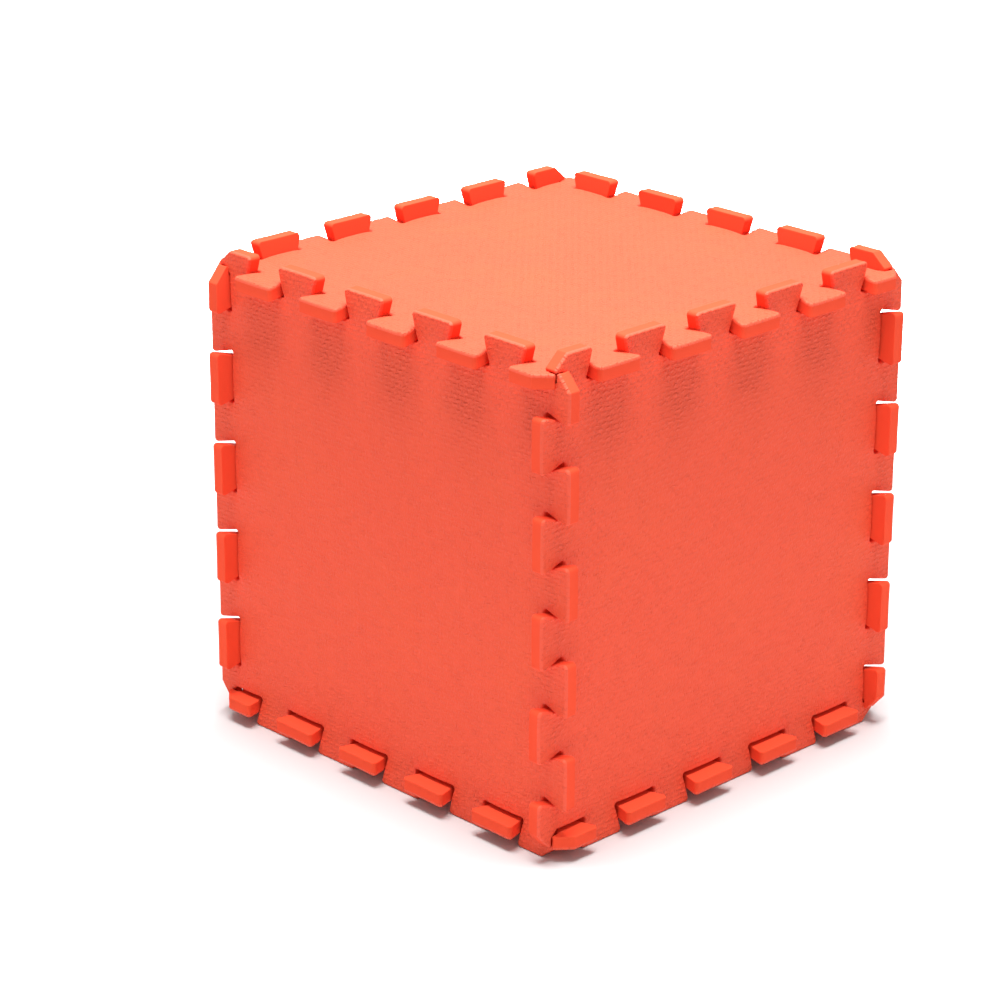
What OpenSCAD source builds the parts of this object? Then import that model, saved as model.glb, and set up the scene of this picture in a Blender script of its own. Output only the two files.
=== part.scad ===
// Interlocking foam mat box: six identical square puzzle mats pushed together edge to edge.
// Every mat has dovetail teeth on all four sides. At each edge of the box the teeth of two mats
// cross at a right angle and stand out past each other's outer face.
// The box stands on the downward teeth of its four side mats. +Z is up.

/* [Mat] */
// Side of a mat's solid square, from tooth root to opposite tooth root
mat_side = 280; // [240:1:420]
// Thickness of the foam sheet
mat_thickness = 9; // [6:0.5:14]

/* [Teeth] */
// Number of teeth on each side of a mat
teeth_per_side = 5; // [4:1:6]
// How much longer a tooth is than twice the sheet thickness
tooth_extra_length = 2; // [1.5:0.25:4]
// How much longer a row of teeth is than the floor space of one mat
row_extra_length = 5; // [3:0.5:8]
// Widening of a tooth from its middle to its tip, on the whole width
tooth_flare = 5.5; // [3:0.25:7]
// Radius of the rounded corners at a tooth's tip
tip_radius = 2.5; // [1:0.25:4]
// Radius of the fillet where a tooth meets its mat
root_radius = 2; // [0.5:0.25:3]
// Radius on the corners of a corner tooth's slanted end
slant_radius = 1; // [0.5:0.25:2]

/* [Fits] */
// Gap between the flanks of two mats' teeth when they lie flat together
flank_gap = 0.2; // [0.1:0.05:0.5]
// Gap between one mat's tooth roots and the inner face of the mat they close against
seat_gap = 0.3; // [0.15:0.05:0.6]
// How far each corner tooth's end stays short of the middle of the corner it shares
corner_gap = 0.5; // [0.25:0.25:1]

/* [Hidden] */
half_side = mat_side / 2;
tooth_length = 2 * mat_thickness + tooth_extra_length;
tip_distance = half_side + tooth_length;
tooth_pitch = (mat_side + tooth_length + row_extra_length) / teeth_per_side;
tooth_mid_width = tooth_pitch / 2 - flank_gap;
tip_half_width = (tooth_mid_width + tooth_flare) / 2;
root_half_width = (tooth_mid_width - tooth_flare) / 2;
// A corner tooth's slanted end: how far it reaches past the mat's corner, and where it starts
slant_reach = tooth_length / 2 - corner_gap;
slant_foot = half_side + tooth_length / 2 + corner_gap;
// Straight pieces that make up each rounded corner
arc_steps = 6;
inner_face_distance = half_side + seat_gap;
// The base mat hangs: it drops until the side mats' flared teeth pinch it, flank_gap away
base_drop = tooth_extra_length - 2 * seat_gap;
foam_color = [0.93, 0.33, 0.25];

function turned(point, angle) = [
    point[0] * cos(angle) - point[1] * sin(angle),
    point[0] * sin(angle) + point[1] * cos(angle)
];

// Position of tooth i along its side, counted from the side's start: each side starts with a gap
function tooth_position(i) = (i - (teeth_per_side - 1) / 2 + 1 / 4) * tooth_pitch;

// The first flank of a tooth on the lower side, teeth pointing down: sharp corners and radii
function first_flank(i) = [
    [[tooth_position(i) - root_half_width, -half_side], root_radius],
    [[tooth_position(i) - tip_half_width, -tip_distance], tip_radius]
];

// The second flank of a plain tooth
function second_flank(i) = [
    [[tooth_position(i) + tip_half_width, -tip_distance], tip_radius],
    [[tooth_position(i) + root_half_width, -half_side], root_radius]
];

// The last tooth of a side is cut off at the mat's corner by a slanted end.
// Where three mats meet, three such teeth share the corner and clear each other.
corner_end = [
    [[half_side, -tip_distance], slant_radius],
    [[half_side + slant_reach, -slant_foot], slant_radius],
    [[half_side, -slant_foot], slant_radius]
];

// The corners of the lower side, running left to right
side_corners = [
    for (i = [0 : teeth_per_side - 1])
        each concat(first_flank(i), i < teeth_per_side - 1 ? second_flank(i) : corner_end)
];

// The corners of the whole mat, side by side, anticlockwise
mat_corners = [
    for (side = [0 : 3], corner = side_corners)
        [turned(corner[0], 90 * side), corner[1]]
];

// The points of a rounded corner, between the corners before and after it
function rounded_corner(before, corner, after, radius) =
    let (
        way_in = (corner - before) / norm(corner - before),
        way_out = (after - corner) / norm(after - corner),
        turn = atan2(cross(way_in, way_out), way_in * way_out),
        side = sign(turn),
        arc_start = corner - radius * tan(abs(turn) / 2) * way_in,
        arc_centre = arc_start + side * radius * turned(way_in, 90)
    )
    [
        for (step = [0 : arc_steps])
            arc_centre + turned(arc_start - arc_centre, turn * step / arc_steps)
    ];

module mat_outline() {
    count = len(mat_corners);
    polygon([
        for (i = [0 : count - 1])
            each rounded_corner(
                mat_corners[(i + count - 1) % count][0],
                mat_corners[i][0],
                mat_corners[(i + 1) % count][0],
                mat_corners[i][1]
            )
    ]);
}

// A mat in its place in the box, given the turn that points its outer face the right way
module seated_mat(turn, drop = 0) {
    translate([0, 0, tip_distance])
        rotate(turn)
            translate([0, 0, inner_face_distance + drop])
                linear_extrude(height = mat_thickness)
                    mat_outline();
}

module base_mat() {
    color(foam_color) seated_mat([180, 0, 0], base_drop);
}

module front_mat() {
    color(foam_color) seated_mat([90, 0, 0]);
}

module back_mat() {
    color(foam_color) seated_mat([-90, 0, 0]);
}

module left_mat() {
    color(foam_color) seated_mat([0, -90, 0]);
}

module right_mat() {
    color(foam_color) seated_mat([0, 90, 0]);
}

module top_mat() {
    color(foam_color) seated_mat([0, 0, 0]);
}

base_mat();
front_mat();
back_mat();
left_mat();
right_mat();
top_mat();
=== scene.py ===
import math
import random

import bpy
from mathutils import Euler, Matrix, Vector, noise
from mathutils.geometry import delaunay_2d_cdt


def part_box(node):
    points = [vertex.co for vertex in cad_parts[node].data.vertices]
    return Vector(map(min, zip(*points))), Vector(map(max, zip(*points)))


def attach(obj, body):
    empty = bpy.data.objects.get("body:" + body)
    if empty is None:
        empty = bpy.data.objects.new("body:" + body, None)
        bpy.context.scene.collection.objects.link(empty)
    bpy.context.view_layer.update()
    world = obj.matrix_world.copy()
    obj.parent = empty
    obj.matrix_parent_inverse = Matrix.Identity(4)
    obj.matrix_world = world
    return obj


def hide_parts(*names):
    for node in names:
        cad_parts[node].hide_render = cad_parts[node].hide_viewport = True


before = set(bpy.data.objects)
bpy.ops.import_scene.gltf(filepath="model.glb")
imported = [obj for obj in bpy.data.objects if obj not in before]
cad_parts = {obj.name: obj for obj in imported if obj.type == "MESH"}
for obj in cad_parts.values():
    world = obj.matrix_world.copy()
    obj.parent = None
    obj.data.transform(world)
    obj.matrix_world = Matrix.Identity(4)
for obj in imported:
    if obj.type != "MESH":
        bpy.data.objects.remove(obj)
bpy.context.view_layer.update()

mm = 0.001

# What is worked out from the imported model: the foam's thickness, the teeth's reach and the box's middle
topLow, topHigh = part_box("top_mat")
frontLow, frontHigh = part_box("front_mat")
matThickness = topHigh.z - topLow.z
tipDistance = (frontHigh.z - frontLow.z) / 2
boxCentre = (frontHigh + frontLow) / 2
boxCentre.x = boxCentre.y = 0
innerDistance = topLow.z - boxCentre.z
print("frame: foam", round(matThickness / mm, 2), "mm thick, teeth reach", round(tipDistance / mm, 2), "mm")

# One mat's cut, in the same measures as the die that cuts it
die = {
    "teethPerSide": 5,
    "toothLength": 20 * mm,
    "toothPitch": 61 * mm,
    "toothShift": 0.25,  # each side's row of teeth sits this share of the pitch off its middle
    "toothMidWidth": 30.3 * mm,
    "toothFlare": 5.5 * mm,
    "tipRadius": 2.5 * mm,
    "rootRadius": 2 * mm,
    "slantRadius": 1.4 * mm,
    "footRadius": 0.5 * mm,
    "cornerGap": 0.1 * mm,  # a corner tooth's end rests on the outer face of the mat beside it
    "cornerReach": 1.5 * mm,  # and passes the end of that mat's own corner tooth by this
    "cornerWeb": 4.6 * mm,  # slanted foot that closes the hole where three mats meet
    "cutStep": 2.4 * mm,  # spacing of points along straight cuts
    "arcSteps": 6,
    "outerRim": (1.2 * mm, 1.9 * mm),  # in and down: the blade presses the outer skin over
    "innerRim": (0.5 * mm, 0.6 * mm),
    "rimSteps": 5,
    "cutRings": (0.25, 0.5, 0.75),  # shares of the cut's height that get a ring of points
    "cutHollow": 0.18 * mm,  # a die-cut edge pulls in a little at mid thickness
    "skinStep": 3.8 * mm,  # spacing of points over the sheet
    "skinClear": 0.55,  # of that step, kept free of points beside the rim
}

rootDistance = tipDistance - die["toothLength"]


def turnedBy(point, angle):
    c, s = math.cos(angle), math.sin(angle)
    return Vector((point.x * c - point.y * s, point.x * s + point.y * c))


# The lower side's sharp corners with their radii, left to right, ending in the slanted corner tooth
def sideCorners():
    tip = (die["toothMidWidth"] + die["toothFlare"]) / 2
    root = (die["toothMidWidth"] - die["toothFlare"]) / 2
    foot = innerDistance + matThickness + die["cornerGap"]
    reach = tipDistance - foot + die["cornerReach"]
    corners = []
    for i in range(die["teethPerSide"]):
        x = (i - (die["teethPerSide"] - 1) / 2 + die["toothShift"]) * die["toothPitch"]
        corners.append((Vector((x - root, -rootDistance)), die["rootRadius"]))
        corners.append((Vector((x - tip, -tipDistance)), die["tipRadius"]))
        if i < die["teethPerSide"] - 1:
            corners.append((Vector((x + tip, -tipDistance)), die["tipRadius"]))
            corners.append((Vector((x + root, -rootDistance)), die["rootRadius"]))
    corners.append((Vector((rootDistance, -tipDistance)), die["slantRadius"]))
    corners.append((Vector((rootDistance + reach, -foot)), die["slantRadius"]))
    corners.append((Vector((rootDistance + die["cornerWeb"], -foot)), die["footRadius"]))
    corners.append((Vector((rootDistance, -foot + die["cornerWeb"])), die["footRadius"]))
    return corners


# The whole cut as points and outward directions, anticlockwise
def cutLine():
    corners = [(turnedBy(p, math.pi / 2 * side), r) for side in range(4) for p, r in sideCorners()]
    points, outwards = [], []
    lastEnd = None
    firstStart = None
    count = len(corners)
    for i, (corner, radius) in enumerate(corners):
        wayIn = (corner - corners[i - 1][0]).normalized()
        wayOut = (corners[(i + 1) % count][0] - corner).normalized()
        turn = math.atan2(wayIn.x * wayOut.y - wayIn.y * wayOut.x, wayIn.dot(wayOut))
        start = corner - wayIn * (radius * math.tan(abs(turn) / 2))
        if lastEnd is None:
            firstStart = start
        else:
            addStraight(points, outwards, lastEnd, start)
        sign = 1 if turn > 0 else -1
        middle = start + turnedBy(wayIn, math.pi / 2) * (sign * radius)
        for step in range(die["arcSteps"] + 1):
            angle = turn * step / die["arcSteps"]
            points.append(middle + turnedBy(start - middle, angle))
            outwards.append(turnedBy(wayIn, angle - math.pi / 2))
        lastEnd = points[-1]
    addStraight(points, outwards, lastEnd, firstStart)
    return points, outwards


def addStraight(points, outwards, start, end):
    length = (end - start).length
    pieces = max(1, round(length / die["cutStep"]))
    outward = turnedBy((end - start).normalized(), -math.pi / 2)
    for k in range(1, pieces):
        points.append(start.lerp(end, k / pieces))
        outwards.append(outward)


# From the inner skin round the cut to the outer skin: how far in from the cut, and how high
def edgeProfile():
    quarter = [math.pi / 2 * k / die["rimSteps"] for k in range(die["rimSteps"] + 1)]
    innerIn, innerDown = die["innerRim"]
    outerIn, outerDown = die["outerRim"]
    rings = [(innerIn * (1 - math.sin(a)), innerDown * (1 - math.cos(a))) for a in quarter]
    for share in die["cutRings"]:
        hollow = die["cutHollow"] * math.sin(math.pi * share)
        rings.append((hollow, innerDown + (matThickness - innerDown - outerDown) * share))
    for a in quarter[::-1]:
        rings.append((outerIn * (1 - math.sin(a)), matThickness - outerDown * (1 - math.cos(a))))
    return rings


keepInside = 1  # how the net is trimmed: to the inside of the rim
sameSpot = 1e-7  # m, net points closer than this are one point


# The skin inside its rim as a fine triangle net
def skinNet(rimPoints):
    step = die["skinStep"]
    steps = math.floor(tipDistance / step)
    loose = []
    for row in range(-steps, steps + 1):
        for col in range(-steps, steps + 1):
            p = Vector(((col + 0.5 * (row % 2)) * step, row * step))
            if insideWith(p, rimPoints, step * die["skinClear"]):
                loose.append(p)
    points = rimPoints + loose
    edges = [(i, (i + 1) % len(rimPoints)) for i in range(len(rimPoints))]
    made = delaunay_2d_cdt(points, edges, [], keepInside, sameSpot)
    return made[0], made[2], made[3]


# Whether a point is inside the rim and at least the margin away from the rim's points
def insideWith(p, rim, margin):
    if max(abs(p.x), abs(p.y)) < rootDistance - margin * 2:
        return True
    inside = False
    nearest = math.inf
    before = rim[-1]
    for after in rim:
        if (after.y > p.y) != (before.y > p.y):
            if p.x < (before.x - after.x) * (p.y - after.y) / (before.y - after.y) + after.x:
                inside = not inside
        nearest = min(nearest, (after - p).length_squared)
        before = after
    return inside and nearest > margin * margin


# One mat lying flat: x and y across the sheet, z from the inner skin up to the outer skin.
# kind is 0 on the inner skin, 1 on the cut edge and 2 on the outer skin, and rim is 1 on the outer arris.
def flatMat():
    points, outwards = cutLine()
    rings = edgeProfile()
    count = len(points)
    places, faces, kinds = [], [], []
    for inset, height in rings:
        places += [Vector((*(p - out * inset), height)) for p, out in zip(points, outwards)]
    skinRim = die["rimSteps"]
    for ring in range(len(rings) - 1):
        kind = 0 if ring < skinRim else 2 if ring >= len(rings) - 1 - skinRim else 1
        lower, upper = ring * count, (ring + 1) * count
        for i in range(count):
            j = (i + 1) % count
            faces.append((lower + i, lower + j, upper + j, upper + i))
            kinds.append(kind)
    rimPoints = [p.xy for p in places[:count]]
    netPoints, netFaces, cameFrom = skinNet(rimPoints)
    for first, height, kind in ((0, 0.0, 0), (len(places) - count, matThickness, 2)):
        index = []
        for p, source in zip(netPoints, cameFrom):
            rimIndex = [k for k in source if k < count]
            if rimIndex:
                index.append(first + rimIndex[0])
            else:
                index.append(len(places))
                places.append(Vector((p.x, p.y, height)))
        for face in netFaces:
            corners = [index[k] for k in face]
            faces.append(corners if kind == 2 else corners[::-1])
            kinds.append(kind)
    arris = range((len(rings) - 1 - skinRim) * count, (len(rings) - 1) * count)
    rims = [1.0 if i in arris else 0.0 for i in range(len(places))]
    return places, faces, kinds, rims


# How each mat stands in the box. turn is in degrees about x, y and z, and grain is the emboss's turn
# in the sheet, so that its rows run level. The rest is in millimetres:
# out shifts the whole sheet out, bow its middle and lean its top edge, and each tooth's tip bends out
# by something between tipLow and tipHigh.
mats = {
    "base_mat": {
        "turn": (180, 0, 0),
        "grain": 0,
        "out": 0.7,
        "bow": 1.4,
        "lean": 0.0,
        "tipLow": -0.5,
        "tipHigh": 0.6,
        "seed": 11,
    },
    "front_mat": {
        "turn": (90, 0, 0),
        "grain": 0,
        "out": 0.0,
        "bow": 0.9,
        "lean": 0.2,
        "tipLow": -0.7,
        "tipHigh": 0.9,
        "seed": 23,
    },
    "back_mat": {
        "turn": (-90, 0, 0),
        "grain": 180,
        "out": 0.0,
        "bow": 0.6,
        "lean": 0.2,
        "tipLow": -0.6,
        "tipHigh": 1.1,
        "seed": 37,
    },
    "left_mat": {
        "turn": (0, -90, 0),
        "grain": 90,
        "out": 0.0,
        "bow": 0.8,
        "lean": 0.2,
        "tipLow": -0.5,
        "tipHigh": 1.2,
        "seed": 41,
    },
    "right_mat": {
        "turn": (0, 90, 0),
        "grain": -90,
        "out": 0.0,
        "bow": 1.0,
        "lean": 0.3,
        "tipLow": -0.7,
        "tipHigh": 0.9,
        "seed": 59,
    },
    "top_mat": {
        "turn": (0, 0, 0),
        "grain": 0,
        "out": 0.0,
        "bow": -0.9,
        "lean": 0.0,
        "tipLow": -1.3,
        "tipHigh": 0.2,
        "seed": 71,
    },
}

# What squeezing the teeth together does to a soft sheet, in millimetres. A curve is the power that
# each bend follows.
squeeze = {
    "ripple": 0.34,  # push of each neighbouring tooth on the edge
    "rippleReach": 70,  # how far in from the edge it fades
    "rippleCurve": 1.3,
    "dimple": 0.75,  # outer skin sunken beside each tooth's root
    "dimpleReach": 5.5,
    "bendStart": 4,  # a tooth's first part is held in its slot
    "bendCurve": 1.5,
    "leanCurve": 1.6,
    "waver": 0.25,  # slow unevenness of the sheet
    "waverSize": 80,
    "cutWaver": 0.07,  # unevenness of the cut
    "cutWaverSize": 9,
}


# A point's place along a side, how far beyond that side's roots it is, and its tooth number there
def alongSide(place, side):
    local = turnedBy(place, -math.pi / 2 * side)
    number = local.x / die["toothPitch"] - die["toothShift"] + (die["teethPerSide"] - 1) / 2
    return -local.y - rootDistance, number


def nearestSide(place):
    if abs(place.y) >= abs(place.x):
        return 0 if place.y < 0 else 2
    return 1 if place.x > 0 else 3


# How far a point of a mat moves along its outward direction
def pushedOut(place, mat, tips, height):
    x, y = place.x / rootDistance, place.y / rootDistance
    push = mat["out"] + mat["bow"] * max(0, 1 - x * x) * max(0, 1 - y * y)
    push += mat["lean"] * max(0, (height / tipDistance + 1) / 2) ** squeeze["leanCurve"]
    for side in range(4):
        beyond, number = alongSide(place, side)
        fade = math.exp(-((max(0, -beyond / mm) / squeeze["rippleReach"]) ** squeeze["rippleCurve"]))
        push += squeeze["ripple"] * fade * (0.5 - 0.5 * math.cos(2 * math.pi * number))
    side = nearestSide(place)
    beyond, number = alongSide(place, side)
    tooth = max(0, min(die["teethPerSide"] - 1, round(number)))
    fromMiddle = abs(number - tooth) * die["toothPitch"] / mm
    fromRoot = fromMiddle - (die["toothMidWidth"] - die["toothFlare"]) / 2 / mm
    nearness = (fromRoot**2 + (beyond / mm) ** 2) / squeeze["dimpleReach"] ** 2
    push -= squeeze["dimple"] * math.exp(-nearness) * (place.z / matThickness) ** 2
    free = (beyond / mm - squeeze["bendStart"]) / (die["toothLength"] / mm - squeeze["bendStart"])
    if free > 0:
        push += tips[side][tooth] * free ** squeeze["bendCurve"]
    spot = place.xy.to_3d() / (squeeze["waverSize"] * mm) + Vector((0, 0, mat["seed"]))
    push += squeeze["waver"] * noise.noise(spot)
    return push * mm


elsewhere = Vector((31, 17, 5))  # any spot of the noise field far enough off to be unrelated


# How far a point of the cut edge strays sideways
def strayed(place, seed):
    spot = place / (squeeze["cutWaverSize"] * mm) + Vector((0, 0, seed))
    return squeeze["cutWaver"] * mm * Vector((noise.noise(spot), noise.noise(spot + elsewhere), 0))


flatLead = 80  # weight with which the large faces keep the sheet's shading flat


# One mat in its place in the box, with its own bends
def standMat(name, mat, materials):
    turn = Euler([math.radians(a) for a in mat["turn"]]).to_matrix()
    outward = turn @ Vector((0, 0, 1))
    low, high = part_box(name)
    distance = min((low - boxCentre).dot(outward), (high - boxCentre).dot(outward))
    chance = random.Random(mat["seed"])
    least, most = mat["tipLow"], mat["tipHigh"]
    tips = [[chance.uniform(least, most) for _ in range(die["teethPerSide"])] for _ in range(4)]
    for sideTips in tips:
        sideTips[-1] = 0  # the corner teeth lock each other
    places = []
    for place in flatPlaces:
        height = (turn @ place.xy.to_3d()).z
        lifted = place + strayed(place, mat["seed"])
        lifted.z += distance + pushedOut(place, mat, tips, height)
        places.append(boxCentre + turn @ lifted)
    mesh = bpy.data.meshes.new(name + "_foam")
    mesh.from_pydata(places, [], flatFaces)
    for material in materials:
        mesh.materials.append(material)
    mesh.polygons.foreach_set("material_index", flatKinds)
    mesh.polygons.foreach_set("use_smooth", [True] * len(flatFaces))
    sheet = mesh.uv_layers.new(name="sheet")
    grain = math.radians(mat["grain"])
    for loop, uv in zip(mesh.loops, sheet.uv):
        uv.vector = turnedBy(flatPlaces[loop.vertex_index], grain) / mm
    rim = mesh.attributes.new("rim", "FLOAT", "POINT")
    rim.data.foreach_set("value", flatRims)
    mesh.update()
    piece = bpy.data.objects.new(name + "_foam", mesh)
    bpy.context.collection.objects.link(piece)
    rounding = piece.modifiers.new("large faces lead", "WEIGHTED_NORMAL")
    rounding.weight = flatLead
    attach(piece, name)
    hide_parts(name)


# Hex sRGB to the linear colour that Blender's nodes take
def linear(hexCode):
    parts = [int(hexCode[i : i + 2], 16) / 255 for i in (1, 3, 5)]
    return [p / 12.92 if p <= 0.04045 else ((p + 0.055) / 1.055) ** 2.4 for p in parts] + [1]


# Adds one node: settings go to its properties or its inputs, and links go from a socket to an input
def add(tree, kind, settings=None, links=None):
    node = tree.nodes.new(kind)
    for key, value in (settings or {}).items():
        if isinstance(key, str) and hasattr(node, key):
            setattr(node, key, value)
        else:
            node.inputs[key].default_value = value
    for key, socket in (links or {}).items():
        tree.links.new(socket, node.inputs[key])
    return node


def newMaterial(name):
    material = bpy.data.materials.new(name)
    material.use_nodes = True
    material.node_tree.nodes.clear()
    return material, material.node_tree


# Closed-cell EVA foam with a roller-embossed skin: staggered short bars with a tick between them, like
# a fine basket weave. To the eye it is a dull even coral, grained only where light grazes it.
embossedFoam = {
    "colour": "#F05030",
    "paler": "#F0522F",
    "deeper": "#F04F2F",
    # the outer arris is drawn paler: partly the paler skin that the die presses over, partly a painted
    # highlight along the rounded edge
    "paleRimAndHighlight": "#F4604A",
    "rimPaleAndHighlightShare": 0.25,
    "roughness": 0.7,
    "ior": 1.48,
    "columnPitch": 6.3,  # mm between bars in a row
    "rowPitch": 3.2,  # mm between rows
    "stagger": 0.5,  # of the column pitch, from one row to the next
    "bars": [  # mm, degrees, and the place in the column from 0 to 1
        {"length": 3.6, "width": 1.5, "angle": 12, "place": 0.0},
        {"length": 2.2, "width": 0.8, "angle": 80, "place": 0.5},
    ],
    "shoulder": (0.1, 0.75),  # shares of a bar's width between which its height falls away
    "barHeight": 0.5,  # mm
    "crooked": 2.6,  # mm, how far the marks stray from their rows
    "crookedSize": 3.4,  # mm
    "grainSize": 1.9,  # mm, the skin's own wrinkle between the bars
    "grainDepth": 0.5,  # mm
    "faintest": 0.45,  # share of that height where the roller pressed least
    "pressing": 9,  # mm, size of the changes in that
    "pressingSpan": (0.35, 0.65),  # noise values taken as the faintest and the deepest
    "poreSize": 0.7,  # mm, drawn coarser than the real 0.1 to 0.3 mm so that it shows
    "poreDepth": 0.04,  # mm
    "clouding": 90,  # mm, size of the slow changes of colour
    "cloudSpan": (0.3, 0.7),  # noise values that get the deeper and the paler colour
}


def embossedFoamSkin():
    s = embossedFoam
    material, tree = newMaterial("closed-cell EVA foam, roller-embossed skin")
    # The emboss is laid out in the flat sheet's own millimetres, and a slow noise makes its rows crooked
    sheet = add(tree, "ShaderNodeUVMap", {"uv_map": "sheet"}).outputs["UV"]
    wanderScale = 1 / s["crookedSize"]
    wander = add(tree, "ShaderNodeTexNoise", {"Scale": wanderScale, "Detail": 2}, {"Vector": sheet})
    centred = add(
        tree,
        "ShaderNodeVectorMath",
        {"operation": "SUBTRACT", 1: (0.5, 0.5, 0.5)},
        {0: wander.outputs["Color"]},
    )
    wandered = add(
        tree,
        "ShaderNodeVectorMath",
        {"operation": "MULTIPLY_ADD", 1: (s["crooked"], s["crooked"], 0)},
        {0: centred.outputs[0], 2: sheet},
    )
    place = add(tree, "ShaderNodeSeparateXYZ", links={0: wandered.outputs[0]})
    row = add(tree, "ShaderNodeMath", {"operation": "DIVIDE", 1: s["rowPitch"]}, {0: place.outputs["Y"]})
    rowNumber = add(tree, "ShaderNodeMath", {"operation": "FLOOR"}, {0: row.outputs[0]})
    inRow = add(tree, "ShaderNodeMath", {"operation": "FRACT"}, {0: row.outputs[0]})
    y = add(
        tree,
        "ShaderNodeMath",
        {"operation": "MULTIPLY_ADD", 1: s["rowPitch"], 2: -s["rowPitch"] / 2},
        {0: inRow.outputs[0]},
    )
    relief = None
    for bar in s["bars"]:
        shift = add(
            tree,
            "ShaderNodeMath",
            {"operation": "MULTIPLY_ADD", 1: s["stagger"], 2: bar["place"]},
            {0: rowNumber.outputs[0]},
        )
        column = add(
            tree,
            "ShaderNodeMath",
            {"operation": "MULTIPLY_ADD", 1: 1 / s["columnPitch"]},
            {0: place.outputs["X"], 2: shift.outputs[0]},
        )
        inColumn = add(tree, "ShaderNodeMath", {"operation": "FRACT"}, {0: column.outputs[0]})
        x = add(
            tree,
            "ShaderNodeMath",
            {"operation": "MULTIPLY_ADD", 1: s["columnPitch"], 2: -s["columnPitch"] / 2},
            {0: inColumn.outputs[0]},
        )
        cell = add(tree, "ShaderNodeCombineXYZ", links={"X": x.outputs[0], "Y": y.outputs[0]})
        turned = add(
            tree,
            "ShaderNodeVectorRotate",
            {"rotation_type": "Z_AXIS", "Angle": -math.radians(bar["angle"])},
            {"Vector": cell.outputs[0]},
        )
        along = add(tree, "ShaderNodeSeparateXYZ", links={0: turned.outputs[0]})
        reach = add(tree, "ShaderNodeMath", {"operation": "ABSOLUTE"}, {0: along.outputs["X"]})
        core = (bar["length"] - bar["width"]) / 2
        past = add(tree, "ShaderNodeMath", {"operation": "SUBTRACT", 1: core}, {0: reach.outputs[0]})
        end = add(tree, "ShaderNodeMath", {"operation": "MAXIMUM", 1: 0}, {0: past.outputs[0]})
        offset = add(tree, "ShaderNodeCombineXYZ", links={"X": end.outputs[0], "Y": along.outputs["Y"]})
        away = add(tree, "ShaderNodeVectorMath", {"operation": "LENGTH"}, {0: offset.outputs[0]})
        inner, outer = [bar["width"] * share for share in s["shoulder"]]
        raised = add(
            tree,
            "ShaderNodeMapRange",
            {"interpolation_type": "SMOOTHSTEP", 1: inner, 2: outer, 3: 1, 4: 0},
            {0: away.outputs["Value"]},
        )
        if relief is None:
            relief = raised.outputs[0]
        else:
            either = {0: relief, 1: raised.outputs[0]}
            relief = add(tree, "ShaderNodeMath", {"operation": "MAXIMUM"}, either).outputs[0]
    pressing = add(tree, "ShaderNodeTexNoise", {"Scale": 1 / s["pressing"], "Detail": 2}, {"Vector": sheet})
    pressed = add(
        tree,
        "ShaderNodeMapRange",
        {1: s["pressingSpan"][0], 2: s["pressingSpan"][1], 3: s["faintest"], 4: 1},
        {0: pressing.outputs["Fac"]},
    )
    marks = add(tree, "ShaderNodeMath", {"operation": "MULTIPLY"}, {0: relief, 1: pressed.outputs[0]})
    pores = add(tree, "ShaderNodeTexNoise", {"Scale": 1 / s["poreSize"], "Detail": 3}, {"Vector": sheet})
    poreBump = add(
        tree,
        "ShaderNodeBump",
        {"Strength": 1, "Distance": s["poreDepth"] * mm},
        {"Height": pores.outputs["Fac"]},
    )
    grain = add(tree, "ShaderNodeTexNoise", {"Scale": 1 / s["grainSize"], "Detail": 2}, {"Vector": sheet})
    grainBump = add(
        tree,
        "ShaderNodeBump",
        {"Strength": 1, "Distance": s["grainDepth"] * mm},
        {"Height": grain.outputs["Fac"], "Normal": poreBump.outputs["Normal"]},
    )
    bump = add(
        tree,
        "ShaderNodeBump",
        {"Strength": 1, "Distance": s["barHeight"] * mm},
        {"Height": marks.outputs[0], "Normal": grainBump.outputs["Normal"]},
    )
    clouds = add(
        tree,
        "ShaderNodeTexNoise",
        {"Scale": 1 / s["clouding"], "Detail": 3, "Roughness": 0.6},
        {"Vector": sheet},
    )
    tone = add(tree, "ShaderNodeValToRGB", links={0: clouds.outputs["Fac"]})
    first, last = tone.color_ramp.elements
    first.position, last.position = s["cloudSpan"]
    first.color, last.color = linear(s["deeper"]), linear(s["paler"])
    tone.color_ramp.elements.new(0.5).color = linear(s["colour"])
    # painted highlight: a paler colour mixed along the outer arris, partly pressed skin and partly
    # highlight painted where the edge catches light
    rim = add(tree, "ShaderNodeAttribute", {"attribute_name": "rim"})
    rimPaleAndHighlightShare = add(
        tree,
        "ShaderNodeMath",
        {"operation": "MULTIPLY", 1: s["rimPaleAndHighlightShare"]},
        {0: rim.outputs["Fac"]},
    )
    skin = add(
        tree,
        "ShaderNodeMix",
        {"data_type": "RGBA", 7: linear(s["paleRimAndHighlight"])},
        {0: rimPaleAndHighlightShare.outputs[0], 6: tone.outputs["Color"]},
    )
    gloss = add(
        tree,
        "ShaderNodeMapRange",
        {1: s["cloudSpan"][0], 2: s["cloudSpan"][1], 3: s["roughness"] - 0.05, 4: s["roughness"] + 0.06},
        {0: pores.outputs["Fac"]},
    )
    foam = add(
        tree,
        "ShaderNodeBsdfPrincipled",
        {"IOR": s["ior"]},
        {"Base Color": skin.outputs[2], "Roughness": gloss.outputs[0], "Normal": bump.outputs["Normal"]},
    )
    add(tree, "ShaderNodeOutputMaterial", links={"Surface": foam.outputs[0]})
    return material


# The same foam where it was split from its block or cut by the die: no skin, so the cells show as a
# very fine grain and the colour is deeper and warmer.
bareFoam = {
    "splitColour": "#F14E30",
    "cutColour": "#F34C2D",
    "paler": "#F4502F",
    "roughness": 0.88,
    "ior": 1.48,
    "specular": 0.28,  # open cells swallow some of the gloss
    "cellSize": 0.8,  # mm, drawn coarser than the real 0.2 mm cells so that they show
    "cellDepth": 0.1,  # mm
    "clouding": 45,  # mm
    "cloudSpan": (0.35, 0.8),
}


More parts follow.
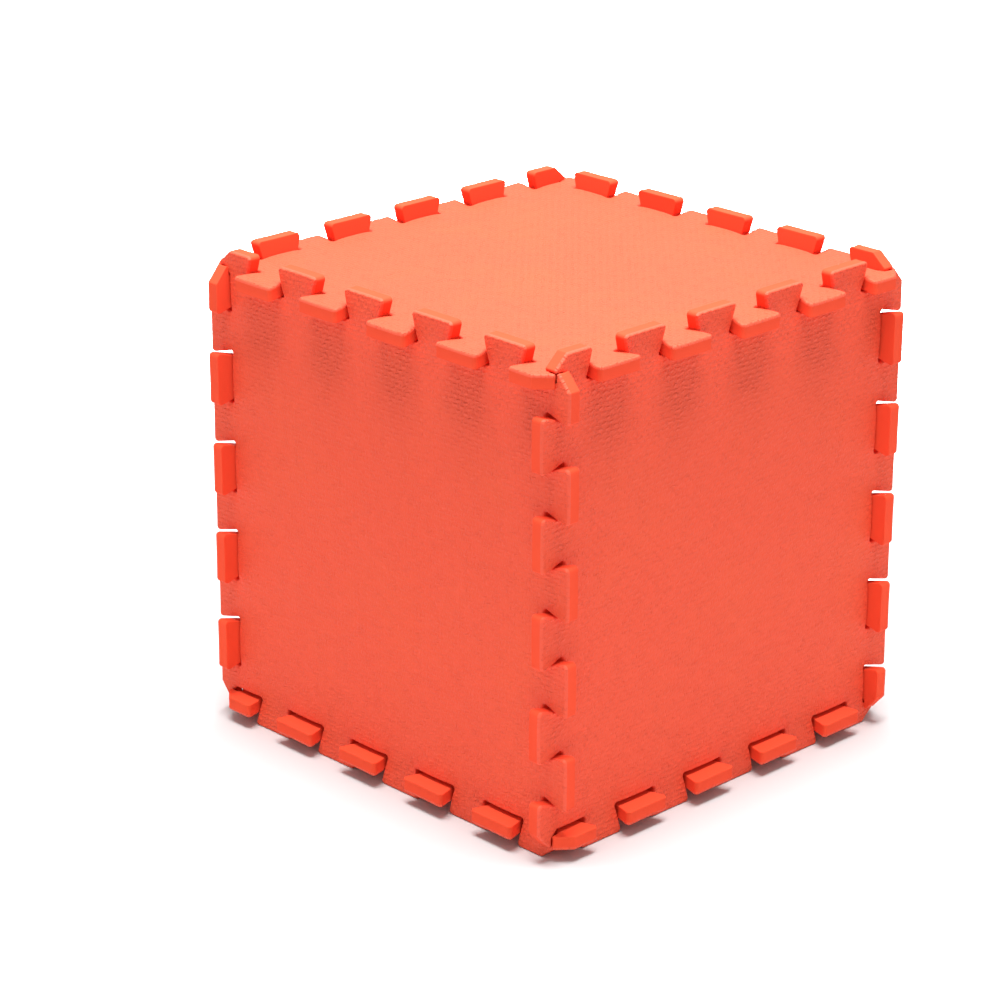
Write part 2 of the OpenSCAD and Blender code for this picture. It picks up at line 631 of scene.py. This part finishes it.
def bareFoamFace(name, colour, cellDepth):
    s = bareFoam
    material, tree = newMaterial(name)
    spot = add(tree, "ShaderNodeTexCoord").outputs["Object"]
    cells = add(tree, "ShaderNodeTexVoronoi", {"Scale": 1 / (s["cellSize"] * mm)}, {"Vector": spot})
    bump = add(
        tree,
        "ShaderNodeBump",
        {"Strength": 1, "Distance": cellDepth * mm},
        {"Height": cells.outputs["Distance"]},
    )
    cloudScale = 1 / (s["clouding"] * mm)
    clouds = add(tree, "ShaderNodeTexNoise", {"Scale": cloudScale, "Detail": 3}, {"Vector": spot})
    tone = add(tree, "ShaderNodeValToRGB", links={0: clouds.outputs["Fac"]})
    first, last = tone.color_ramp.elements
    first.position, last.position = s["cloudSpan"]
    first.color, last.color = linear(colour), linear(s["paler"])
    foam = add(
        tree,
        "ShaderNodeBsdfPrincipled",
        {
            "IOR": s["ior"],
            "Roughness": s["roughness"],
            "Specular IOR Level": s["specular"],
        },
        {"Base Color": tone.outputs["Color"], "Normal": bump.outputs["Normal"]},
    )
    add(tree, "ShaderNodeOutputMaterial", links={"Surface": foam.outputs[0]})
    return material


flatPlaces, flatFaces, flatKinds, flatRims = flatMat()
print("cut: one mat is", len(flatPlaces), "points and", len(flatFaces), "faces")

foamMaterials = [
    bareFoamFace("closed-cell EVA foam, split face", bareFoam["splitColour"], bareFoam["cellDepth"] / 2),
    bareFoamFace("closed-cell EVA foam, die-cut edge", bareFoam["cutColour"], bareFoam["cellDepth"]),
    embossedFoamSkin(),
]
print("materials: ready")

for matName, matShape in mats.items():
    standMat(matName, matShape, foamMaterials)
    print("mat:", matName)

# White paper under an overhead softbox that stands a little towards the camera. Most of the light on
# the upright mats comes back up from the paper. A second box whitens the paper behind.
studio = {
    "floorColour": "#D0D0D0",
    "floorRoughness": 0.9,
    "floorSize": 30,  # m
    "ambient": 0.51,
    "softboxes": [
        {"name": "overhead", "place": (0.08, -0.08, 2.3), "size": 1.3, "power": 119, "spread": 180},
        {"name": "background", "place": (-2.0, 2.0, 2.4), "size": 2.8, "power": 480, "spread": 50},
    ],
}


def layFloor():
    half = studio["floorSize"] / 2
    mesh = bpy.data.meshes.new("floor")
    corners = [(-half, -half, 0), (half, -half, 0), (half, half, 0), (-half, half, 0)]
    mesh.from_pydata(corners, [], [(0, 1, 2, 3)])
    floor = bpy.data.objects.new("floor", mesh)
    bpy.context.collection.objects.link(floor)
    material, tree = newMaterial("seamless background paper")
    paper = add(
        tree,
        "ShaderNodeBsdfPrincipled",
        {"Base Color": linear(studio["floorColour"]), "Roughness": studio["floorRoughness"]},
    )
    add(tree, "ShaderNodeOutputMaterial", links={"Surface": paper.outputs[0]})
    mesh.materials.append(material)


def hangLights():
    for box in studio["softboxes"]:
        data = bpy.data.lights.new(box["name"], "AREA")
        data.size = box["size"]
        data.energy = box["power"]
        data.spread = math.radians(box["spread"])
        lamp = bpy.data.objects.new(box["name"], data)
        lamp.location = box["place"]
        bpy.context.collection.objects.link(lamp)
    world = bpy.data.worlds.new("studio")
    bpy.context.scene.world = world
    world.use_nodes = True
    world.node_tree.nodes["Background"].inputs["Color"].default_value = (1, 1, 1, 1)
    world.node_tree.nodes["Background"].inputs["Strength"].default_value = studio["ambient"]
    bpy.context.scene.view_settings.view_transform = "Standard"


# A long lens from in front, right and above. The aim stays a little left of and below the middle.
view = {
    "azimuth": 44.8,  # degrees from the front, turning to the right
    "elevation": 20.7,
    "distance": 2.105,  # m from the box's middle
    "lens": 117.6,  # mm
    "aimLeft": 34.6 * mm,
    "aimDown": 7.4 * mm,
    "roll": 0.2,
    "clip": (0.05, 100),  # m
}


def setCamera():
    azimuth, elevation = math.radians(view["azimuth"]), math.radians(view["elevation"])
    back = Euler((-elevation, 0, azimuth)).to_matrix() @ Vector((0, -1, 0))
    place = boxCentre + back * view["distance"]
    level = back.to_track_quat("Z", "Y").to_matrix()
    aim = boxCentre - level.col[0] * view["aimLeft"] - level.col[1] * view["aimDown"]
    data = bpy.data.cameras.new("camera")
    data.lens = view["lens"]
    data.clip_start, data.clip_end = view["clip"]
    camera = bpy.data.objects.new("camera", data)
    camera.location = place
    camera.rotation_euler = (aim - place).to_track_quat("-Z", "Y").to_euler()
    camera.rotation_euler.rotate_axis("Z", math.radians(view["roll"]))
    bpy.context.collection.objects.link(camera)
    bpy.context.scene.camera = camera


layFloor()
hangLights()
setCamera()
print("studio: floor, lights and camera are set")
